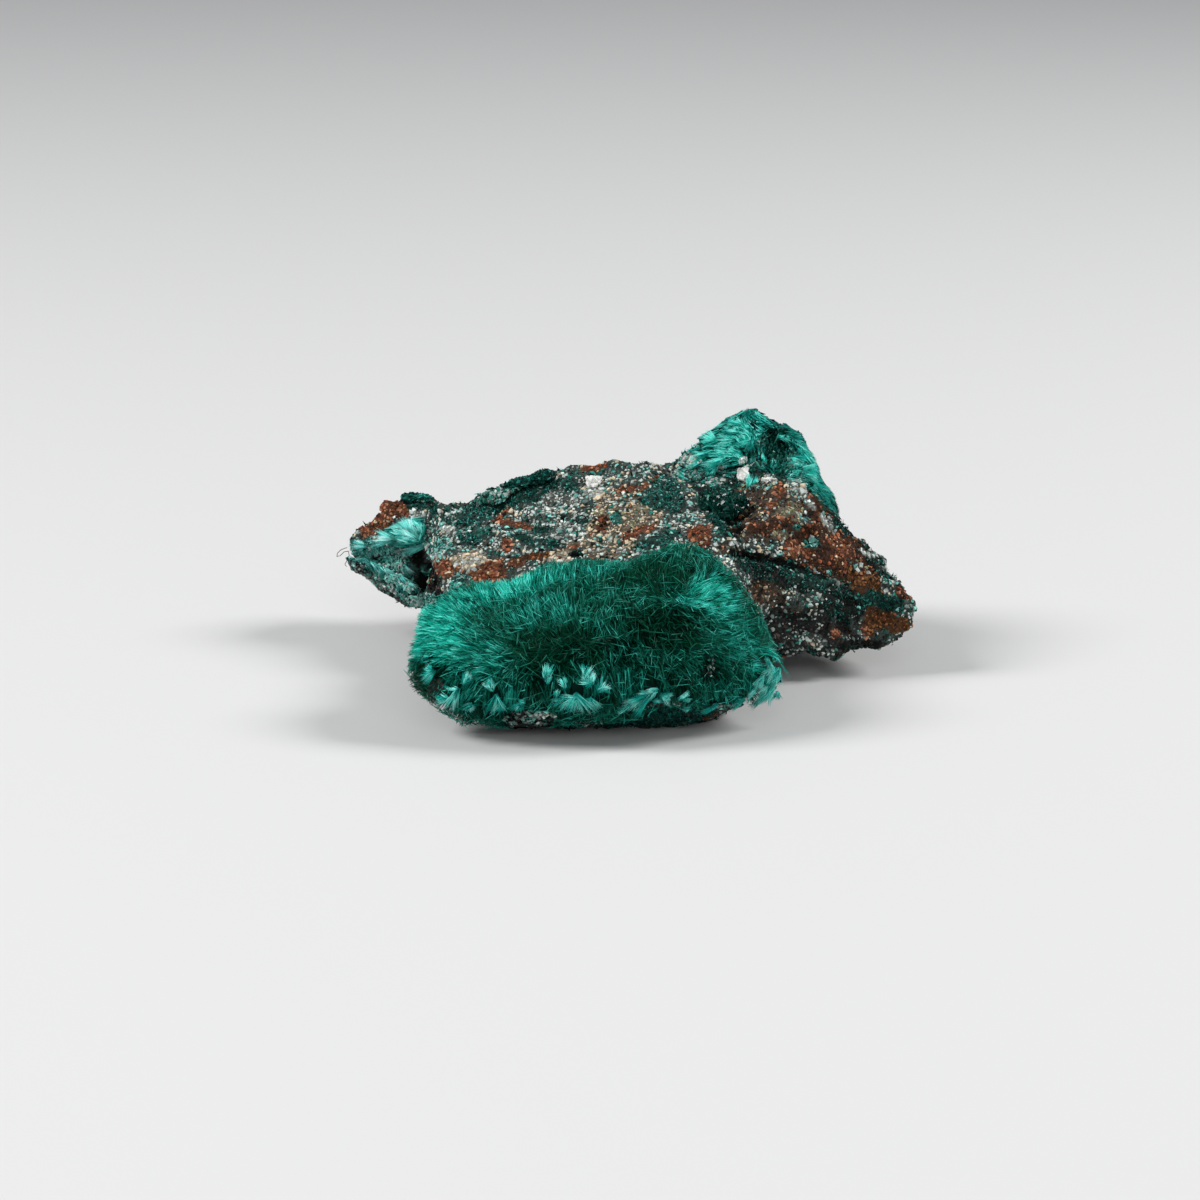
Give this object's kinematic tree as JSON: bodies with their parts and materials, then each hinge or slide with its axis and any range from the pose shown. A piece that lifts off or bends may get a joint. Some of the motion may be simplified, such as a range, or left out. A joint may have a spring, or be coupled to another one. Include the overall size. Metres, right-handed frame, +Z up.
{
  "type": "mineral specimen",
  "caption": "Broken rock slab with a thick velvet mound of green needle crystals on its front and smaller green sprays on its ends and peak; rests on a flat break.",
  "frame": {"origin": "centre of the bounding box's bottom face, on the plane that the specimen rests on", "axes": "+X to the viewer's right, along the specimen's length; +Y away from the viewer, from the velvet mound to the hidden back; +Z up"},
  "size_m": [0.0542, 0.0514, 0.0225],
  "materials": {
    "rock": "rough broken quartz and limonite",
    "velvet": "silky velvet of fine needles",
    "silky_spray": "silky sprays of fine needles",
    "white_crystal": "satin crystal faces"
  },
  "bodies": {
    "root": {"matrix": "rock", "brochantite_mound": "velvet", "brochantite_left_fan": "silky_spray", "brochantite_left_drape": "silky_spray", "brochantite_left_cap": "silky_spray", "brochantite_back_edge": "silky_spray", "brochantite_peak": "silky_spray", "brochantite_vug": "silky_spray", "white_crystal_middle": "white_crystal", "white_crystal_peak": "white_crystal", "white_crystal_right": "white_crystal"}
  },
  "joints": []
}
